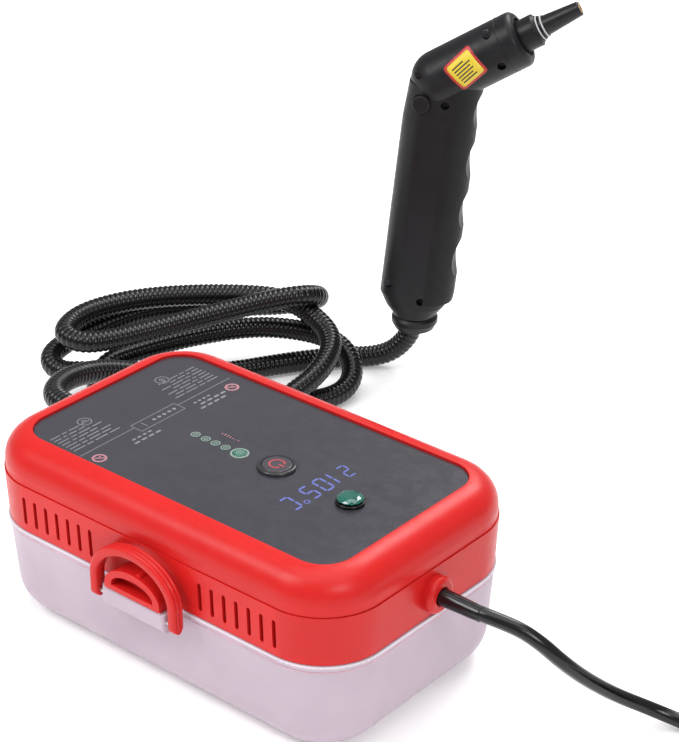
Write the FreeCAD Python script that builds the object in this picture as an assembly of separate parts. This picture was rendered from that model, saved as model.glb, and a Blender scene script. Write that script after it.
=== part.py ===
import FreeCAD, Part
import math
import os

# Portable steam cleaner: translucent water tank, lift-off head with pump and
# heater, steam gun on a corrugated hose, mains lead with plug.
# Millimetres. Origin: centre of the tank's underside. +X points along the box
# towards the mains lead, -Y is the side with the front latch, +Z is up.

V = FreeCAD.Vector
X_AXIS = V(1, 0, 0)
Y_AXIS = V(0, 1, 0)
Z_AXIS = V(0, 0, 1)

# --- driving dimensions of the box ---
SEAM_HX, SEAM_HY, SEAM_R = 142.5, 89.6, 41.5      # half size at the cover's seam
RIM_HX, RIM_HY, RIM_R = 141.2, 88.4, 40.8         # half size where head meets tank
BASE_HX, BASE_HY, BASE_R = 137.4, 83.1, 37.0      # half size of the tank's foot
RIM_Z = 67.1                                      # head rests on the tank here
SEAM_Z = 98.9
CREST_Z = 122.5
WALL = 2.5
TANK_WALL = 2.6
FOOT_FILLET = 24.0
COVER_ROUND = 17.5
SHADOW_STEP = 0.8                                 # cover sits this far inside the frame

# --- panel and what is on it ---
PANEL_HX, PANEL_HY, PANEL_R = 122.8, 70.0, 19.8
PANEL_TOP = 121.0
PANEL_T = 2.0
POWER_XY, POWER_R = (24.7, -1.0), 9.6
MODE_XY, MODE_R = (-2.8, -3.5), 4.6
LAMP_XY, LAMP_R = (83.5, -3.8), 7.8
LED_XS, LED_Y, LED_R = (-38.6, -30.2, -22.2, -14.1), -3.8, 3.3
POWER_TRAVEL = 1.5
MODE_TRAVEL = 0.6
BUTTON_GAP = 0.3

# --- vents, latches and bosses on the long sides ---
VENT_COUNT, VENT_PITCH = 7, 9.4
VENT_STARTS = (-101.2, 43.4)
VENT_W, VENT_Z0, VENT_Z1 = 2.8, 72.0, 91.0
LATCH_HALF, LATCH_FACE = 34.6, 8.0
LATCH_Y0, LATCH_Y1 = 93.0, 101.0
LATCH_TOP = 99.6
LATCH_PIVOT = (97.0, 60.6)                        # y and z of the hinge line
LATCH_END_R = 4.4
PIN_R = 1.6
PIN_CLEARANCE = 0.06
BOSS_HALF, BOSS_TOP, BOSS_FACE = 22.2, 84.0, 100.5
LEDGE_HALF = 25.6

# --- cord and hose ---
CORD_R = 4.5
CORD_Z = 82.6
CORD_BOSS_R, CORD_BOSS_X, CORD_BOSS_ROUND = 11.4, 149.0, 3.2
CORD_SLEEVE_X = 157.0
HOSE_R = 7.9
HOSE_Y, HOSE_Z = 21.0, 80.0
HOSE_BOSS_R, HOSE_BOSS_X = 13.0, -149.0
HOSE_NUT_X = HOSE_BOSS_X - 8.0

# --- steam gun, in its own frame: x forward, y left, z up ---
GUN_X, GUN_Y, GUN_TURN = -134.0, 330.5, 30.0
BARREL_X, BARREL_Z, BARREL_TILT = 65.0, 263.1, 31.0
BARREL_R = 20.5
GUN_HALF_W = 17.6
GUN_WALL = 2.4
GUN_BUTTON_XZ, GUN_BUTTON_R = (4.6, 219.5), 6.4
BARREL_FRONT = 9.0                                # front face, along the barrel from its mark


def box(x0, x1, y0, y1, z0, z1):
    return Part.makeBox(x1 - x0, y1 - y0, z1 - z0, V(x0, y0, z0))


def rod(start, axis, radius, length):
    return Part.makeCylinder(radius, length, V(*start), axis)


def cone(start, axis, radius0, radius1, length):
    return Part.makeCone(radius0, radius1, length, V(*start), axis)


def ring(start, axis, inner, outer, length):
    return rod(start, axis, outer, length).cut(rod(start, axis, inner, length))


def rounded(hx, hy, r, z, cx=0.0, cy=0.0):
    """Closed wire: a rectangle with round corners, flat at height z."""
    kx, ky = hx - r, hy - r
    edges = []
    right, left = ((kx, -hy), (hx, -ky)), ((-kx, hy), (-hx, ky))
    sides = (right, ((hx, ky), (kx, hy)), left, ((-hx, -ky), (-kx, -hy)))
    last = (-kx, -hy)
    for i, (a, b) in enumerate(sides):
        turn = math.radians(-45 + 90 * i)
        corner = (math.copysign(kx, a[0] + b[0]), math.copysign(ky, a[1] + b[1]))
        mid = (corner[0] + r * math.cos(turn), corner[1] + r * math.sin(turn))
        p, q, s, e = [V(cx + w[0], cy + w[1], z) for w in (last, a, mid, b)]
        if (q - p).Length > 1e-6:
            edges.append(Part.LineSegment(p, q).toShape())
        edges.append(Part.Arc(q, s, e).toShape())
        last = b
    return Part.Wire(edges)


def slab(hx, hy, r, z0, z1, cx=0.0, cy=0.0):
    return Part.Face(rounded(hx, hy, r, z0, cx, cy)).extrude(V(0, 0, z1 - z0))


def loft(wires, ruled=True):
    return Part.makeLoft(wires, True, ruled)


def edges_at(shape, z, tol=0.05):
    return [e for e in shape.Edges if max(abs(e.BoundBox.ZMin - z), abs(e.BoundBox.ZMax - z)) < tol]


def fuse(first, *rest):
    return first.fuse(list(rest)).removeSplitter()


def arch(half, spring_z, top_z, foot_z, y0, y1):
    """A gate shape: two straight legs and a half-ellipse crown."""
    rise, centre = top_z - spring_z, V(0, y0, spring_z)
    if rise > half:
        crown = Part.Ellipse(centre + V(0, 0, rise), centre + V(-half, 0, 0), centre)
    else:
        crown = Part.Ellipse(centre + V(half, 0, 0), centre + V(0, 0, rise), centre)
    full = Part.Face(Part.Wire([crown.toShape()])).extrude(V(0, y1 - y0, 0))
    upper = full.common(box(-half - 1, half + 1, y0 - 1, y1 + 1, spring_z, top_z + 1))
    return fuse(upper, box(-half, half, y0, y1, foot_z, spring_z))


def mirror_y(shape):
    return shape.mirror(V(0, 0, 0), Y_AXIS)


def route_tube(name, points, radius):
    """Plain tube on straight runs joined by tangent arcs as large as the runs allow."""
    pts = [V(*p) for p in points]
    edges, radii, last = [], [], pts[0]
    for a, b, c in zip(pts, pts[1:], pts[2:]):
        back, ahead = (a - b), (c - b)
        short = min(back.Length, ahead.Length)
        u, w = back.normalize(), ahead.normalize()
        half_turn = (math.pi - u.getAngle(w)) / 2
        reach = 0.45 * short
        bend = reach / math.tan(half_turn)
        radii.append(round(bend, 1))
        start, end = b + u * reach, b + w * reach
        inward = (u + w).normalize()
        middle = b + inward * (math.hypot(bend, reach) - bend)
        edges.append(Part.LineSegment(last, start).toShape())
        edges.append(Part.Arc(start, middle, end).toShape())
        last = end
    edges.append(Part.LineSegment(last, pts[-1]).toShape())
    path = Part.Wire(edges)
    along = (pts[1] - pts[0]).normalize()
    section = Part.Wire([Part.Circle(pts[0], along, radius).toShape()])
    tube = path.makePipeShell([section], True, False)
    expected = math.pi * radius ** 2 * path.Length
    ratio = round(tube.Volume / expected, 3)
    print(name, "length", round(path.Length), "volume ratio", ratio, "radii", radii)
    return tube


# ---------------------------------------------------------------- tank

def water_tank():
    outer = loft([rounded(BASE_HX, BASE_HY, BASE_R, 0), rounded(RIM_HX, RIM_HY, RIM_R, RIM_Z - 0.4)])
    outer = outer.makeFillet(FOOT_FILLET, edges_at(outer, 0))
    w = TANK_WALL
    inner = loft([rounded(BASE_HX - w, BASE_HY - w, BASE_R - w, w),
                  rounded(RIM_HX - w, RIM_HY - w, RIM_R - w, RIM_Z)])
    inner = inner.makeFillet(FOOT_FILLET - w, edges_at(inner, w))
    bead_out = slab(RIM_HX + 0.7, RIM_HY + 0.7, RIM_R + 0.7, RIM_Z - 4.2, RIM_Z - 0.4)
    bead_out = bead_out.makeFillet(0.6, edges_at(bead_out, RIM_Z - 4.2) + edges_at(bead_out, RIM_Z - 0.4))
    foot_z, top_z = 54.0, RIM_Z - 0.4
    ledge = box(-LEDGE_HALF, LEDGE_HALF, -BOSS_FACE, -RIM_HY + 3, foot_z, top_z)
    ledge = ledge.makeFillet(3.0, [e for e in ledge.Edges if e.BoundBox.YMax < -BOSS_FACE + 0.1])
    inside = loft([rounded(BASE_HX - 1, BASE_HY - 1, BASE_R - 1, 0),
                   rounded(RIM_HX - 1, RIM_HY - 1, RIM_R - 1, RIM_Z)])
    ledge = ledge.cut(inside)
    hole = rod((-LEDGE_HALF - 1, -LATCH_PIVOT[0], LATCH_PIVOT[1]), X_AXIS, PIN_R, 2 * LEDGE_HALF + 2)
    ledge = ledge.cut(hole)
    return fuse(outer, bead_out, ledge, mirror_y(ledge)).cut(inner)


def tank_gasket():
    gap = TANK_WALL + 0.15
    z0 = RIM_Z - 5.6
    outside = slab(RIM_HX - gap - 0.6, RIM_HY - gap - 0.6, RIM_R - gap - 0.6, z0, RIM_Z - 1.2)
    return outside.cut(slab(RIM_HX - gap - 3, RIM_HY - gap - 3, RIM_R - gap - 3, z0 - 1, RIM_Z))


def latch_pin():
    half = LATCH_HALF - 1.0
    return rod((-half, -LATCH_PIVOT[0], LATCH_PIVOT[1]), X_AXIS, PIN_R, 2 * half)


def latch():
    """Red bail: hinged on the tank at both feet, its crown closes over the head's boss."""
    y0, y1, (py, pz) = -LATCH_Y1, -LATCH_Y0, LATCH_PIVOT
    inner_half = LATCH_HALF - LATCH_FACE
    spring = 72.0
    outer = arch(LATCH_HALF, spring, LATCH_TOP, pz, y0, y1)
    hollow = arch(inner_half, spring, LATCH_TOP - 10.4, pz - 6, y0 - 1, y1 + 1)
    bail = outer.cut(hollow)
    groove = arch(LATCH_HALF + 3, spring, LATCH_TOP + 3, spring - 0.5, y0 + 3.2, y0 + 4.6)
    groove = groove.cut(arch(LATCH_HALF - 0.8, spring, LATCH_TOP - 0.8, spring - 1, y0 + 2, y0 + 6))
    bail = bail.cut(groove).cut(box(-50, 50, y1 - 2.6, y1 + 1, 82.0, LATCH_TOP + 1))
    feet = []
    for side in (-1, 1):
        x0 = inner_half if side > 0 else -LATCH_HALF
        feet.append(rod((x0, -py, pz), X_AXIS, LATCH_END_R - 0.4, LATCH_FACE))
    bail = fuse(bail, *feet)
    holes = rod((-50, -py, pz), X_AXIS, PIN_R + PIN_CLEARANCE, 100)
    return bail.cut(holes)


# ---------------------------------------------------------------- head shell

def vents():
    cuts = []
    for start in VENT_STARTS:
        for i in range(VENT_COUNT):
            x = start + i * VENT_PITCH
            r = VENT_W / 2
            slot = box(x - r, x + r, -100, 100, VENT_Z0 + r, VENT_Z1 - r)
            ends = [rod((x, -100, z), Y_AXIS, r, 200) for z in (VENT_Z0 + r, VENT_Z1 - r)]
            cuts.append(fuse(slot, *ends))
    return cuts


def side_boss():
    """D-shaped boss with a finger pocket, standing out of the long side."""
    body = arch(BOSS_HALF, 70.0, BOSS_TOP, RIM_Z, -BOSS_FACE, -RIM_HY + 2)
    pocket = arch(BOSS_HALF - 5.4, 71.4, BOSS_TOP - 4.6, 70.2, -BOSS_FACE - 1, -BOSS_FACE + 7.5)
    nub = rod((4.5, -BOSS_FACE + 1.4, BOSS_TOP - 0.6), Y_AXIS, 2.0, 5.0)
    return fuse(body, nub).cut(pocket)


def seam_lip():
    """Step at the seam: a shelf inside the frame's wall and a lip that enters the cover."""
    cover_inside = SHADOW_STEP + WALL + 0.2
    inner = cover_inside + 1.6
    hole = slab(SEAM_HX - inner, SEAM_HY - inner, SEAM_R - inner, SEAM_Z - 7, SEAM_Z + 4)
    shelf = slab(SEAM_HX - 1.6, SEAM_HY - 1.6, SEAM_R - 1.6, SEAM_Z - 6, SEAM_Z)
    lip = slab(SEAM_HX - cover_inside, SEAM_HY - cover_inside, SEAM_R - cover_inside, SEAM_Z - 1, SEAM_Z + 3)
    return fuse(shelf, lip).cut(hole)


def mid_frame():
    w = WALL
    shell = loft([rounded(RIM_HX, RIM_HY, RIM_R, RIM_Z), rounded(SEAM_HX, SEAM_HY, SEAM_R, SEAM_Z)])
    hollow = loft([rounded(RIM_HX - w, RIM_HY - w, RIM_R - w, RIM_Z - 1),
                   rounded(SEAM_HX - w - 1.4, SEAM_HY - w - 1.4, SEAM_R - w - 1.4, SEAM_Z + 5)])
    frame = fuse(shell, side_boss(), mirror_y(side_boss()),
                 rod((130, 0, CORD_Z), X_AXIS, CORD_BOSS_R, CORD_BOSS_X - 130),
                 rod((HOSE_BOSS_X, HOSE_Y, HOSE_Z), X_AXIS, HOSE_BOSS_R, -130 - HOSE_BOSS_X))
    frame = fuse(frame.cut(hollow), seam_lip())
    for cut in vents():
        frame = frame.cut(cut)
    ends = [e for e in frame.Edges if e.Closed and abs(abs(e.BoundBox.XMin) - CORD_BOSS_X) < 0.1
            and e.BoundBox.XLength < 0.1 and e.BoundBox.YLength > 20]
    frame = frame.makeFillet(CORD_BOSS_ROUND, ends)
    frame = frame.cut(rod((120, 0, CORD_Z), X_AXIS, CORD_R + 1.5, 40))
    return frame.cut(rod((-160, HOSE_Y, HOSE_Z), X_AXIS, HOSE_R + 2.1, 40))


def head_floor():
    inset = TANK_WALL + 3.3
    plate = slab(RIM_HX - WALL - 0.1, RIM_HY - WALL - 0.1, RIM_R - WALL - 0.1, RIM_Z + 0.2, RIM_Z + 2.6)
    skirt = slab(RIM_HX - inset, RIM_HY - inset, RIM_R - inset, RIM_Z - 6.4, RIM_Z + 0.2)
    within = inset + 2.2
    skirt = skirt.cut(slab(RIM_HX - within, RIM_HY - within, RIM_R - within, RIM_Z - 7, RIM_Z + 0.2))
    body = fuse(plate, skirt)
    body = body.cut(rod((SUCTION_XY[0], SUCTION_XY[1], 50), Z_AXIS, SUCTION_R, 40))
    return body


def top_cover():
    hx, hy, r = SEAM_HX - SHADOW_STEP, SEAM_HY - SHADOW_STEP, SEAM_R - SHADOW_STEP
    w = WALL
    z0 = SEAM_Z + 0.4
    outer = slab(hx, hy, r, z0, CREST_Z)
    outer = outer.makeFillet(COVER_ROUND, edges_at(outer, CREST_Z))
    inner = slab(hx - w, hy - w, r - w, z0 - 1, CREST_Z - 4.2)
    inner = inner.makeFillet(COVER_ROUND - w, edges_at(inner, CREST_Z - 4.2))
    recess = slab(PANEL_HX + 0.15, PANEL_HY + 0.15, PANEL_R + 0.15, PANEL_TOP - PANEL_T, CREST_Z + 1)
    window = slab(PANEL_HX - 7, PANEL_HY - 7, PANEL_R - 7, CREST_Z - 10, CREST_Z + 1)
    return outer.cut(inner).cut(recess).cut(window)


# ---------------------------------------------------------------- controls

def panel_rod(xy, z0, radius, height):
    return rod((xy[0], xy[1], z0), Z_AXIS, radius, height)


def control_panel():
    z0 = PANEL_TOP - PANEL_T
    plate = slab(PANEL_HX, PANEL_HY, PANEL_R, z0, PANEL_TOP)
    plate = plate.makeFillet(0.5, edges_at(plate, PANEL_TOP))
    for xy, radius in ((POWER_XY, POWER_R + 1.4), (MODE_XY, MODE_R + 1.2), (LAMP_XY, LAMP_R)):
        plate = plate.cut(panel_rod(xy, z0 - 1, radius, PANEL_T + 2))
    for x in LED_XS:
        plate = plate.cut(panel_rod((x, LED_Y), z0 - 1, LED_R, PANEL_T + 2))
    return plate


def bezel(xy, bore, height, flange):
    """Flanged collar that lines a hole in the panel."""
    z0 = PANEL_TOP - PANEL_T
    tube = panel_rod(xy, z0 - 1.6, bore + 1.1, PANEL_T + 1.6)
    top = panel_rod(xy, PANEL_TOP, bore + 1.1 + flange, height)
    top = top.makeFillet(height * 0.6, edges_at(top, PANEL_TOP + height))
    return fuse(tube, top).cut(panel_rod(xy, z0 - 3, bore, 12))


def power_button():
    cap = panel_rod(POWER_XY, PANEL_TOP - 2.0, POWER_R - BUTTON_GAP, 4.4)
    cap = cap.makeFillet(0.8, edges_at(cap, PANEL_TOP + 2.4))
    stem = panel_rod(POWER_XY, POWER_STEM_Z, 2.2, PANEL_TOP - 2.0 - POWER_STEM_Z)
    return fuse(cap, stem)


def mode_button():
    cap = panel_rod(MODE_XY, PANEL_TOP - 2.0, MODE_R - BUTTON_GAP, 2.9)
    cap = cap.makeFillet(0.4, edges_at(cap, PANEL_TOP + 0.9))
    stem = panel_rod(MODE_XY, MODE_STEM_Z, 1.6, PANEL_TOP - 2.0 - MODE_STEM_Z)
    return fuse(cap, stem)


def lamp_bezel():
    tube = panel_rod(LAMP_XY, PANEL_TOP - 6, LAMP_R - 0.05, 6)
    flange = panel_rod(LAMP_XY, PANEL_TOP, LAMP_R + 1.1, 2.0)
    flange = flange.makeFillet(0.7, edges_at(flange, PANEL_TOP + 2.0))
    return fuse(tube, flange).cut(panel_rod(LAMP_XY, PANEL_TOP - 7, LAMP_R - 1.6, 12))


def lamp_lens():
    foot = panel_rod(LAMP_XY, PANEL_TOP - 5, LAMP_R - 1.6, 7.1)
    dome_r = 19.0
    top = PANEL_TOP + 5.2
    dome = Part.makeSphere(dome_r, V(LAMP_XY[0], LAMP_XY[1], top - dome_r))
    crown = panel_rod(LAMP_XY, PANEL_TOP + 2.1, LAMP_R + 0.4, 4).common(dome)
    return fuse(foot, crown)


def level_led(x):
    foot = panel_rod((x, LED_Y), BOARD_TOP, 1.6, PANEL_TOP - PANEL_T - BOARD_TOP)
    return fuse(foot, panel_rod((x, LED_Y), PANEL_TOP - PANEL_T, LED_R, PANEL_T + 0.15))


# ---------------------------------------------------------------- inside the head

FLOOR_TOP = RIM_Z + 2.6
BOARD_Z, BOARD_T = 108.0, 1.6
BOARD_TOP = BOARD_Z + BOARD_T
POWER_SWITCH_H, MODE_SWITCH_H = 5.4, 3.2
POWER_STEM_Z = BOARD_TOP + POWER_SWITCH_H + POWER_TRAVEL + 0.1
MODE_STEM_Z = BOARD_TOP + MODE_SWITCH_H + MODE_TRAVEL + 0.1
SUCTION_XY, SUCTION_R = (-116.0, -42.0), 4.0
PUMP_Y, PUMP_Z, PUMP_R = -42.0, 88.0, 11.0
PUMP_X0, PUMP_X1 = -92.0, 4.0
BLOCK = (-88.0, 28.0, 2.0, 62.0, 76.0, 101.0)
THERMOSTAT_XY = (19.6, 40.0)
STEAM_Y = HOSE_Y


def control_board():
    board = box(-58, 96, -24, 24, BOARD_Z, BOARD_TOP)
    posts = [rod((x, y, FLOOR_TOP), Z_AXIS, 3.0, BOARD_Z - FLOOR_TOP) for x, y in ((90, -19), (90, 19))]
    relay = box(40, 59, 6, 22, BOARD_Z - 15.5, BOARD_Z)
    triac = box(66, 82, -20, -6, BOARD_Z - 12, BOARD_Z)
    return fuse(board, relay, triac, *posts)


def display_module():
    return box(46.0, 65.2, -34.0, 26.0, BOARD_TOP, PANEL_TOP - PANEL_T - 0.2)


def power_switch():
    x, y = POWER_XY
    return box(x - 7, x + 7, y - 7, y + 7, BOARD_TOP, BOARD_TOP + POWER_SWITCH_H)


def mode_switch():
    x, y = MODE_XY
    return box(x - 3, x + 3, y - 3, y + 3, BOARD_TOP, BOARD_TOP + MODE_SWITCH_H)


def pump_body():
    """Vibratory pump: steel frame round a moulded coil, pump tube through both."""
    coil = box(-66, -26, PUMP_Y - 16, PUMP_Y + 16, PUMP_Z - 13, PUMP_Z + 13)
    coil = coil.makeFillet(3, [e for e in coil.Edges if e.BoundBox.XLength > 30])
    return coil.cut(rod((-70, PUMP_Y, PUMP_Z), X_AXIS, PUMP_R, 50))


def pump_core():
    tube = rod((PUMP_X0, PUMP_Y, PUMP_Z), X_AXIS, PUMP_R - 0.2, PUMP_X1 - PUMP_X0)
    inlet = cone((PUMP_X0 - 14, PUMP_Y, PUMP_Z), X_AXIS, 3.2, 5.0, 14)
    outlet = cone((PUMP_X1, PUMP_Y, PUMP_Z), X_AXIS, 5.0, 3.2, 12)
    return fuse(tube, inlet, outlet)


def pump_mounts():
    mounts = []
    for x in (-82.0, -12.0):
        pad = box(x - 4, x + 4, PUMP_Y - 15, PUMP_Y + 15, FLOOR_TOP, PUMP_Z)
        mounts.append(pad.cut(rod((x - 5, PUMP_Y, PUMP_Z), X_AXIS, PUMP_R - 0.2, 10)))
    return Part.makeCompound(mounts)


def thermoblock():
    x0, x1, y0, y1, z0, z1 = BLOCK
    body = box(x0, x1, y0, y1, z0, z1)
    body = body.makeFillet(6, [e for e in body.Edges if e.BoundBox.ZLength > 20])
    ribs = [box(x0 + 12 + 12 * i, x0 + 15 + 12 * i, y0 + 6, y1 - 6, z1, z1 + 3) for i in range(8)]
    corners = [(x, y) for x in (x0 + 9, x1 - 9) for y in (y0 + 9, y1 - 9)]
    feet = [rod((x, y, FLOOR_TOP), Z_AXIS, 4.0, z0 - FLOOR_TOP) for x, y in corners]
    terminals = [rod((x1, y, z0 + 9), X_AXIS, 3.2, 10) for y in (y0 + 14, y1 - 14)]
    outlet = rod((x0 - 8, STEAM_Y, HOSE_Z + 8), X_AXIS, 5.0, 8)
    return fuse(body, outlet, *ribs, *feet, *terminals)


def thermostat():
    x, y = THERMOSTAT_XY
    return fuse(rod((x, y, BLOCK[5]), Z_AXIS, 7.4, 4.0), rod((x, y, BLOCK[5] + 4), Z_AXIS, 5.2, 2.6))


def relief_valve():
    y = BLOCK[3]
    return fuse(rod((-50, y, 90), Y_AXIS, 6.5, 5), rod((-50, y + 5, 90), Y_AXIS, 4.6, 11))


def steam_pipe():
    y, z = STEAM_Y, HOSE_Z + 8
    points = ((BLOCK[0] - 8.1, y, z), (-107, y, z), (-119, y, HOSE_Z + 0.6), (-138, y, HOSE_Z))
    return route_tube("steam_pipe", points, 3.0)


def water_tube():
    """Silicone tube from the pump's outlet round to the thermoblock's rear inlet."""
    points = ((PUMP_X1 + 12.1, PUMP_Y, PUMP_Z), (30, PUMP_Y, PUMP_Z), (44, -33, PUMP_Z), (51, -15, PUMP_Z),
              (51, 5, PUMP_Z), (47, 22, PUMP_Z), (38, 31, PUMP_Z), (BLOCK[1] + 0.1, 31, PUMP_Z))
    return route_tube("water_tube", points, 2.6)


def suction_tube():
    x, y = SUCTION_XY
    drop = rod((x, y, 14), Z_AXIS, SUCTION_R - 0.1, PUMP_Z - 14)
    elbow = Part.makeSphere(SUCTION_R - 0.1, V(x, y, PUMP_Z))
    across = rod((x, y, PUMP_Z), X_AXIS, SUCTION_R - 0.1, PUMP_X0 - 14 - x)
    return fuse(drop, elbow, across)


def suction_filter():
    x, y = SUCTION_XY
    cup = rod((x, y, 5.5), Z_AXIS, 9.0, 14)
    cup = cup.makeFillet(2.0, edges_at(cup, 5.5) + edges_at(cup, 19.5))
    for i in range(6):
        turn = math.radians(60 * i)
        slot = box(6.4, 12, -1.2, 1.2, 8.0, 17.0)
        slot.rotate(V(0, 0, 0), Z_AXIS, math.degrees(turn))
        slot.translate(V(x, y, 0))
        cup = cup.cut(slot)
    return cup.cut(rod((x, y, 14), Z_AXIS, SUCTION_R - 0.1, 8))


def terminal_block():
    body = box(96, 122, -34, -12, FLOOR_TOP, FLOOR_TOP + 14)
    screws = [rod((103 + 12 * i, -23, FLOOR_TOP + 10), Z_AXIS, 2.4, 5) for i in range(2)]
    return body.cut(fuse(screws[0], screws[1]))


def cord_sleeve():
    """Rubber sleeve through the mains boss with the cord's end inside it."""
    inner = rod((118, 0, CORD_Z), X_AXIS, CORD_R + 1.45, CORD_BOSS_X - 118)
    taper = cone((CORD_BOSS_X, 0, CORD_Z), X_AXIS, CORD_R + 0.9, CORD_R + 0.3, CORD_SLEEVE_X - CORD_BOSS_X)
    return fuse(inner, taper)


def hose_gland():
    nut = rod((HOSE_NUT_X, HOSE_Y, HOSE_Z), X_AXIS, HOSE_R + 3.4, HOSE_BOSS_X - HOSE_NUT_X)
    nut = nut.makeFillet(1.6, [e for e in nut.Edges if e.BoundBox.XMax < HOSE_NUT_X + 0.1])
    sleeve = rod((HOSE_BOSS_X, HOSE_Y, HOSE_Z), X_AXIS, HOSE_R + 2.05, 11.0)
    bore = rod((HOSE_NUT_X - 1, HOSE_Y, HOSE_Z), X_AXIS, 3.0, 30)
    return fuse(nut, sleeve).cut(bore)


def cover_screws():
    screws = []
    for x in (-112, 112):
        for y in (-62, 62):
            head = rod((x, y, RIM_Z + 2.6), Z_AXIS, 3.4, 2.2)
            screws.append(fuse(head, rod((x, y, RIM_Z + 4.8), Z_AXIS, 1.7, 14)))
    return Part.makeCompound(screws)


# ---------------------------------------------------------------- mains lead

CORD_ROUTE = ((CORD_SLEEVE_X + 0.05, 0, CORD_Z), (180, 0, CORD_Z), (197, 6.6, 79.8), (218.6, 15, 64.4),
              (226.7, 33.6, 43.9), (234.2, 53.7, 25.2), (245.8, 72, 11.5), (268, 82, CORD_R),
              (293.3, 80.3, CORD_R), (316, 79.3, CORD_R))
COIL_X, COIL_Y = 328.0, 132.8
COIL_MID_R, COIL_GAP = 49.0, 9.2
COIL_LAYERS = 3
PLUG_X, PLUG_Y, PLUG_Z = 374.0, 79.2, 18.4
PLUG_TAIL_X = 365.0


def mains_cord():
    return route_tube("mains_cord", CORD_ROUTE, CORD_R)


def mains_cord_coil():
    inner, outer = COIL_MID_R - COIL_GAP - 0.4, COIL_MID_R + COIL_GAP + 0.4
    height = 2 * CORD_R + (COIL_LAYERS - 1) * COIL_GAP * 0.96
    coil = ring((COIL_X, COIL_Y, 0), Z_AXIS, inner, outer, height)
    coil = coil.makeFillet(CORD_R * 0.7, edges_at(coil, 0) + edges_at(coil, height))
    plug_end = rod((COIL_X, PLUG_Y, PLUG_Z), X_AXIS, CORD_R, PLUG_TAIL_X - 0.05 - COIL_X)
    return fuse(coil, plug_end)


def plug_body():
    """Round moulded two-pin plug lying on its side, pins along +X."""
    x, z = PLUG_X, PLUG_Z
    disc = rod((x + 24, PLUG_Y, z), X_AXIS, 18.2, 13)
    disc = disc.makeFillet(2.0, [e for e in disc.Edges if e.Closed])
    waist = cone((x + 8, PLUG_Y, z), X_AXIS, 9.0, 15.5, 17)
    tail = cone((PLUG_TAIL_X, PLUG_Y, z), X_AXIS, CORD_R + 0.6, 6.4, x + 8.5 - PLUG_TAIL_X)
    flats = [box(x + 22, x + 40, PLUG_Y + s * 13 - 3, PLUG_Y + s * 13 + 3, 36.2, 40) for s in (-1, 1)]
    body = fuse(disc, waist, tail)
    for flat in flats:
        body = body.cut(flat)
    return body.common(box(x - 40, x + 60, PLUG_Y - 40, PLUG_Y + 40, 0.3, 36.6))


def plug_pins():
    pins = []
    for side in (-1, 1):
        pin = rod((PLUG_X + 37, PLUG_Y + side * 9.5, PLUG_Z), X_AXIS, 2.4, 19)
        pins.append(pin.makeFillet(1.0, [e for e in pin.Edges if e.BoundBox.XMin > PLUG_X + 55.9]))
    return Part.makeCompound(pins)


# ---------------------------------------------------------------- steam hose

HOSE_LEAD = ((HOSE_NUT_X - 0.05, 21, 80), (-177, 21, 80), (-199, 29, 79), (-213, 51, 76), (-214, 80, 70),
             (-206, 112, 58), (-193, 143, 42), (-181, 166, 28))
GUN_LEAD = ((-192, 281, HOSE_R), (-180, 297, HOSE_R), (-165, 311, 8.6), (-152, 321, 12), (-142, 326, 21),
            (-136, 329, 32.0), (-134, 330.5, 44.0))
COIL_CENTRE, COIL_TURN = (-228.0, 205.0), 45.0


def hose_coil():
    """Outer shape of the loose flat coil of hose."""
    low = rounded(113, 52, 50, 0, -2, -14)
    mid = rounded(116, 58, 54, 38, -3, -8)
    top = rounded(101, 37, 34, 74, 0, 14)
    coil = loft([low, mid, top])
    coil.rotate(V(0, 0, 0), Z_AXIS, COIL_TURN)
    coil.translate(V(COIL_CENTRE[0], COIL_CENTRE[1], 0))
    return coil


# ---------------------------------------------------------------- steam gun

BARREL_DIR = V(math.cos(math.radians(BARREL_TILT)), 0, math.sin(math.radians(BARREL_TILT)))
BARREL_UP = V(-BARREL_DIR.z, 0, BARREL_DIR.x)
LABEL_TILT = 45.7


def place_gun(shape):
    placed = shape.copy()
    placed.rotate(V(0, 0, 0), Z_AXIS, GUN_TURN)
    placed.translate(V(GUN_X, GUN_Y, 0))
    return placed


def on_barrel(along):
    p = V(BARREL_X, 0, BARREL_Z) + BARREL_DIR * along
    return (p.x, p.y, p.z)


def handle(grow_front, shrink):
    """Handle as a stack of rounded sections (back edge, front edge, height)."""
    sections = ((-14.0, 16.5, 48.5), (-20.5, 23.5, 57.0), (-24.8, 25.4, 67.0), (-17.6, 32.4, 138.0),
                (-10.6, 38.6, 205.0), (-6.0, 42.5, 232.0))
    wires = []
    for back, front, z in sections:
        b, f = back + shrink, front + grow_front - shrink
        hx, hy = (f - b) / 2, GUN_HALF_W - shrink - (1.2 if z < 50 else 0)
        wires.append(rounded(hx, hy, min(hx, hy) - 1.5, z, (f + b) / 2, 0))
    return loft(wires)


def gun_body(shrink):
    elbow_at = on_barrel(-58)
    barrel = rod(elbow_at, BARREL_DIR, BARREL_R - shrink, BARREL_FRONT + 58 - shrink)
    if shrink == 0:
        front = [e for e in barrel.Edges if e.Closed and e.BoundBox.XMax > BARREL_X]
        barrel = barrel.makeFillet(5.0, front)
    elbow = Part.makeSphere(BARREL_R - shrink, V(*elbow_at))
    return fuse(handle(0, shrink), barrel, elbow)


GUN_SCREW_XZ = ((47.9, 272.0), (1.2, 239.8), (21.5, 219.1), (60.4, 251.7), (-17.5, 76.0), (7.2, 64.6))


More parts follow.
